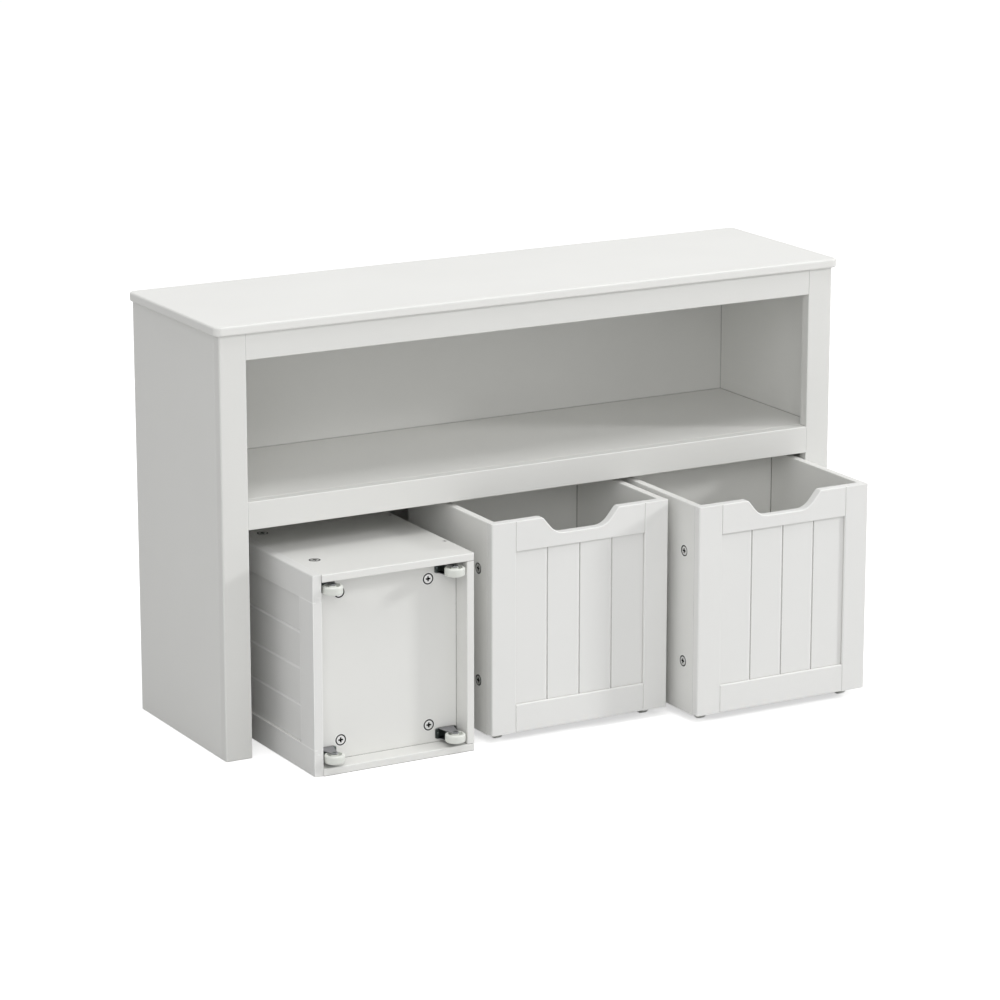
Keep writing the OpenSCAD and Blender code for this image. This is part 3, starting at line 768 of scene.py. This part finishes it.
def screw_section():
    """Pairs of (depth, radius) along a plate screw, from the middle of its pan head to its point. Where the
    dome has turned by a, it lies screw_dome (1 - cos a) inside its top."""
    dome = np.linspace(0, pi / 2, dome_points)
    head = np.stack([screw_dome * (1 - np.cos(dome)), pole_r + (screw_head_r - pole_r) * np.sin(dome)], -1)
    shank_end = screw_head_t + screw_l
    return np.concatenate([head, [[screw_head_t, screw_head_r], [screw_head_t, screw_r],
                                  [shank_end - point_l, screw_r], [shank_end, pole_r]]])


def caster_skins():
    """Skins of one caster's steel parts round the middle of its plate, in the bin's frame. The pin, the
    screws and the faces of the plate, down to plate_slack below it, take the second material, a darker
    copy of the steel that paints shade."""
    bracket, pin = stacked(bracket_loops()), stacked(turned(pin_section(), pin_sides))
    pin.transform(Matrix.Translation((0, 0, wheel_z)))
    for face in bracket.faces:
        face.material_index = int(face.calc_center_median().z > plate_z - sheet_t - plate_slack)
    screws = [stacked(turned(screw_section(), screw_sides)) for _ in range(2)]
    for screw, end in zip(screws, (-1, 1)):
        screw.transform(Matrix.Translation((0, end * screw_off, plate_z - sheet_t - screw_head_t))
                        @ Matrix.Rotation(-pi / 2, 4, "Y"))
    for skin in [pin, *screws]:
        for face in skin.faces:
            face.material_index = 1
    return [bracket, pin, *screws]


def joined(skins):
    """One skin that holds several, each left whole."""
    whole = bmesh.new()
    for skin in skins:
        mesh = bpy.data.meshes.new("part")
        skin.to_mesh(mesh)
        skin.free()
        whole.from_mesh(mesh)
        bpy.data.meshes.remove(mesh)
    return whole


for b in bins:
    placed = []
    for y in wheel_y.values():
        for sign in (-1, 1):
            for skin in caster_skins():
                skin.transform(bin_place[b] @ Matrix.Translation((sign * wheel_x, y, 0)))
                placed.append(skin)
    node = f"{b}_bin_caster_brackets"
    casters = finish_skin(joined(placed), node)
    # The arms keep the plated steel. The plates, pins and screws take its darker copy, painted shade.
    piece = shade_flat(add_piece(node + "_pressed", casters, node, arm_steel, plate_shade_steel))
print("casters of a bin:", len(piece.data.polygons), "faces")

# %% [markdown]
# ## Cams and screws
# A cam fitting shows a round zinc face with a cross slot, set flush in its bore. The CAD shape has all of
# that. The face is bright zinc, and its rim, its sides and its slot take a near-black zinc, painted shade. A
# mask painted on it would need an image, so the face is cut along a polygon a little inside its rim, and only
# what lies within it takes the bright zinc. The screws are too small to show a rim, so their faces are all
# bright, and the rest of each screw is painted shade.

# %% Find the round faces
rim_mm = 1.2
round_corners = 20
cam_face_mm2 = (60.0, 140.0)


def round_faces(node):
    """Middle, direction, radius and rim width of each round flat face of a node. Only a cam's has a rim."""
    skin = welded(node)
    found = []
    for face in skin.faces:
        if len(face.verts) > round_corners:
            corners = np.array([corner.co for corner in face.verts])
            low, high = corners.min(0), corners.max(0)
            rim = rim_mm if cam_face_mm2[0] < face.calc_area() < cam_face_mm2[1] else 0.0
            found.append((Vector((low + high) / 2), face.normal.copy(), float((high - low).max() / 2), rim))
    skin.free()
    return found


print("round faces on the cabinet's cams:", len(round_faces("cabinet_cams")))

# %% Finish the fittings
rim_sides = 24
same_way = 0.99
in_plane_mm = 0.05
cut_mm = 0.0001
fittings = ["cabinet_cams", "back_panel_screws"]
for b in bins:
    fittings += [f"{b}_bin_cams", f"{b}_bin_corner_screws"]


def flat_part(skin, middle, direction, radius):
    """Faces that lie in the plane of a round face, within its radius. The cosine between their directions is
    over same_way, and their middles lie within in_plane_mm of the plane."""
    found = []
    for face in skin.faces:
        way = face.calc_center_median() - middle
        flat = face.normal.dot(direction) > same_way and abs(way.dot(direction)) < in_plane_mm
        if flat and way.length < radius:
            found.append(face)
    return found


def cut_rim(skin, middle, direction, radius, rim):
    """Cuts a round face along the sides of a polygon that lie rim inside its edge."""
    flat = flat_part(skin, middle, direction, radius)
    cut = flat + list(dict.fromkeys(edge for face in flat for edge in face.edges))
    cut += list(dict.fromkeys(corner for face in flat for corner in face.verts))
    side = direction.orthogonal().normalized() * (radius - rim)
    for turn in np.linspace(0, 2 * pi, rim_sides, endpoint=False):
        out = Matrix.Rotation(turn, 3, direction) @ side
        cut = bmesh.ops.bisect_plane(skin, geom=cut, dist=cut_mm, plane_co=middle + out, plane_no=out)["geom"]


for node in fittings:
    skin = welded(node, join_flat=False)
    # Every face starts in the near-black zinc, painted shade. The flat round faces within their rims then take
    # the bright zinc.
    for face in skin.faces:
        face.material_index = 1
    for middle, direction, radius, rim in round_faces(node):
        if rim:
            cut_rim(skin, middle, direction, radius, rim)
        for face in flat_part(skin, middle, direction, radius - rim):
            face.material_index = 0
    add_piece(node + "_turned", finish_skin(skin, node), node, bright_zinc, rim_shade_zinc)

# %% [markdown]
# ## The floor
# The picture's background and floor are pure white. Here the floor is a real white one, so that it catches
# soft shadows and bounces light up at the boards. The camera alone sees it lifted to white by a glow, and all
# other rays meet a plain pale floor, so the glow lights nothing.

# %% Make the floor
floor_half = 30
cloud_m = 1.25
lift_strength = 0.56
floor_mesh = bpy.data.meshes.new("floor")
floor_corners = [(-floor_half, -floor_half, 0), (floor_half, -floor_half, 0), (floor_half, floor_half, 0),
                 (-floor_half, floor_half, 0)]
floor_mesh.from_pydata(floor_corners, [], [(0, 1, 2, 3)])
floor = bpy.data.objects.new("floor", floor_mesh)
bpy.context.scene.collection.objects.link(floor)
floor_material, tree, place = new_material("studio_floor")
clouds = add_node(tree, "ShaderNodeTexNoise", {"Vector": place, "Scale": 1 / cloud_m})
tone = add_node(tree, "ShaderNodeMix", {
    mix_factor: clouds.outputs["Fac"], mix_first: "#F4F4F4", mix_second: "#F1F1F1"}, data_type="RGBA")
matt = add_node(tree, "ShaderNodeBsdfDiffuse", {"Color": tone.outputs[mix_result]})
lift = add_node(tree, "ShaderNodeEmission", {"Color": "#FFFFFF", "Strength": lift_strength})
lifted = add_node(tree, "ShaderNodeAddShader", {0: matt.outputs[0], 1: lift.outputs[0]})
pale = add_node(tree, "ShaderNodeBsdfDiffuse", {"Color": "#D8D8D8"})
ray = add_node(tree, "ShaderNodeLightPath")
choice = add_node(tree, "ShaderNodeMixShader", {
    0: ray.outputs["Is Camera Ray"], 1: pale.outputs[0], 2: lifted.outputs[0]})
add_node(tree, "ShaderNodeOutputMaterial", {"Surface": choice.outputs[0]})
floor_mesh.materials.append(floor_material)
print("floor:", 2 * floor_half, "m wide")

# %% [markdown]
# ## The lamps
# The picture is lit softly, as in a studio with white walls: tops are brightest, fronts a little less, and
# left faces darker. A large lamp stands in front and a larger share comes from overhead. A small key lamp,
# low on the right, draws the only clear shadows: a strip on each panel beside its right stile, and a slanting
# edge on the middle bin. One bright lamp would be simpler, but it would leave the left faces dark. The powers
# come from one render per lamp, weighed together until tops and fronts have the picture's tones.

# %% Make the lamps
aim = Vector((0, 0, 0.25))
lamp_distance = 5.0


def lamp(name, azimuth, elevation, size, power):
    """A square area lamp that faces the middle of the set from an azimuth, 0 in front and 90 on the right,
    and an elevation, in degrees."""
    az, el = radians(azimuth), radians(elevation)
    out = Vector((sin(az) * cos(el), -cos(az) * cos(el), sin(el)))
    data = bpy.data.lights.new(name, "AREA")
    data.size = size
    data.energy = power
    made = bpy.data.objects.new(name, data)
    bpy.context.scene.collection.objects.link(made)
    made.location = aim + out * lamp_distance
    made.rotation_euler = (-out).to_track_quat("-Z", "Y").to_euler()
    return made


key = lamp("key", azimuth=62, elevation=21, size=0.6, power=80)
front = lamp("front", azimuth=-30, elevation=26, size=3.0, power=58)
overhead = lamp("overhead", azimuth=0, elevation=80, size=3.0, power=90)
print("lamps:", len(bpy.data.lights))

# %% [markdown]
# ## The world
# The white walls of the studio fill the shadows, so the world is white. It lights the boards at less than
# half strength. The camera and mirror-like rays see it at full strength, so that the background is white and
# the zinc reflects white walls.

# %% Make the world
fill_strength = 0.47
world = bpy.data.worlds.new("studio")
world.use_nodes = True
bpy.context.scene.world = world
sky = world.node_tree
sky.nodes.clear()
ray = add_node(sky, "ShaderNodeLightPath")
white = add_node(sky, "ShaderNodeBackground", {"Color": "#FFFFFF", "Strength": 1.0})
fill = add_node(sky, "ShaderNodeBackground", {"Color": "#FFFFFF", "Strength": fill_strength})
direct = add_node(sky, "ShaderNodeMath", {
    0: ray.outputs["Is Camera Ray"], 1: ray.outputs["Is Transmission Ray"]}, operation="MAXIMUM")
direct = add_node(sky, "ShaderNodeMath", {0: direct.outputs[0], 1: ray.outputs["Is Glossy Ray"]},
                  operation="MAXIMUM")
mixed = add_node(sky, "ShaderNodeMixShader", {0: direct.outputs[0], 1: fill.outputs[0], 2: white.outputs[0]})
add_node(sky, "ShaderNodeOutputWorld", {"Surface": mixed.outputs[0]})
print("fill:", fill_strength)

# %% [markdown]
# ## The view
# The Standard view shows colours as they are written.

# %% Set the view
bpy.context.scene.view_settings.view_transform = "Standard"
